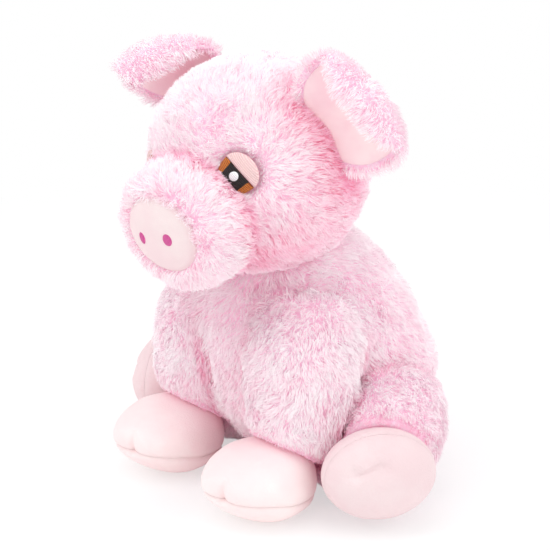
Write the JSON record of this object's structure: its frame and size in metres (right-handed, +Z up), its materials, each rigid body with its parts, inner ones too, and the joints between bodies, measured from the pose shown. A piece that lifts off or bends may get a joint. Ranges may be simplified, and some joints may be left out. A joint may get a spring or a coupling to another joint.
{
  "type": "plush pig",
  "caption": "Sitting plush pig with furry body, head and legs, smooth cloven trotters, a flat snout disc, half-closed embroidered eyes and folded ears.",
  "frame": {"origin": "middle of the torso's flat seat, on the plane that the toy sits on", "axes": "+Z up, the toy faces -Y, its left side is +X"},
  "size_m": [0.2472, 0.2207, 0.2696],
  "materials": {
    "fur": "long pile",
    "velour": "short pile",
    "satin": "soft sheen",
    "fibre": "loose fibre",
    "canvas": "plain weave",
    "lid_thread": "satin stitch",
    "iris_thread": "satin stitch",
    "pupil_thread": "satin stitch",
    "white_thread": "satin stitch",
    "nostril_thread": "satin stitch"
  },
  "bodies": {
    "torso": {"torso_cover": "fur", "torso_filling": "fibre", "bean_pouch": "canvas"},
    "head": {"head_cover": "fur", "head_filling": "fibre", "muzzle_cover": "fur", "muzzle_filling": "fibre", "snout_disc": "velour", "left_nostril": "nostril_thread", "right_nostril": "nostril_thread", "left_eyelid": "lid_thread", "left_iris": "iris_thread", "left_pupil": "pupil_thread", "left_eye_highlight": "white_thread", "right_eyelid": "lid_thread", "right_iris": "iris_thread", "right_pupil": "pupil_thread", "right_eye_highlight": "white_thread"},
    "left_ear": {"left_ear_back": "fur", "left_ear_lining": "satin"},
    "right_ear": {"right_ear_back": "fur", "right_ear_lining": "satin"},
    "left_front_leg": {"left_front_leg_cover": "fur", "left_front_leg_filling": "fibre", "left_front_trotter_upper": "velour", "left_front_trotter_sole": "velour", "left_front_trotter_filling": "fibre"},
    "right_front_leg": {"right_front_leg_cover": "fur", "right_front_leg_filling": "fibre", "right_front_trotter_upper": "velour", "right_front_trotter_sole": "velour", "right_front_trotter_filling": "fibre"},
    "left_hind_leg": {"left_hind_leg_cover": "fur", "left_hind_leg_filling": "fibre", "left_hind_trotter_upper": "velour", "left_hind_trotter_sole": "velour", "left_hind_trotter_filling": "fibre"},
    "right_hind_leg": {"right_hind_leg_cover": "fur", "right_hind_leg_filling": "fibre", "right_hind_trotter_upper": "velour", "right_hind_trotter_sole": "velour", "right_hind_trotter_filling": "fibre"},
    "tail": {"tail": "fur"}
  },
  "joints": [
    {"name": "neck_nod", "type": "hinge", "parent": "torso", "child": "head", "pos_m": [0, -0.041, 0.095], "axis": [1, 0, 0], "range_deg": [-12, 9], "stiffness_Nm_per_rad": 2},
    {"name": "left_shoulder", "type": "hinge", "parent": "torso", "child": "left_front_leg", "pos_m": [0.04, -0.044, 0.112], "axis": [-1, 0, 0], "range_deg": [0, 22], "stiffness_Nm_per_rad": 0.8},
    {"name": "right_shoulder", "type": "hinge", "parent": "torso", "child": "right_front_leg", "pos_m": [-0.04, -0.044, 0.112], "axis": [-1, 0, 0], "range_deg": [0, 22], "stiffness_Nm_per_rad": 0.8},
    {"name": "left_hip", "type": "hinge", "parent": "torso", "child": "left_hind_leg", "pos_m": [0.05, -0.013, 0.042], "axis": [0, 0, 1], "range_deg": [-4, 12], "stiffness_Nm_per_rad": 0.8},
    {"name": "right_hip", "type": "hinge", "parent": "torso", "child": "right_hind_leg", "pos_m": [-0.05, -0.013, 0.042], "axis": [0, 0, -1], "range_deg": [-4, 12], "stiffness_Nm_per_rad": 0.8},
    {"name": "left_ear_root", "type": "hinge", "parent": "head", "child": "left_ear", "pos_m": [0.05382, -0.04635, 0.23157], "axis": [-0.3374, -0.2996, 0.8924], "range_deg": [-12, 12], "stiffness_Nm_per_rad": 0.1},
    {"name": "right_ear_root", "type": "hinge", "parent": "head", "child": "right_ear", "pos_m": [-0.05135, -0.05266, 0.23646], "axis": [0.3407, 0.1886, 0.921], "range_deg": [-12, 12], "stiffness_Nm_per_rad": 0.1},
    {"name": "tail_root", "type": "hinge", "parent": "torso", "child": "tail", "pos_m": [0, 0.057, 0.042], "axis": [0, 0, 1], "range_deg": [-18, 18], "stiffness_Nm_per_rad": 0.03}
  ]
}
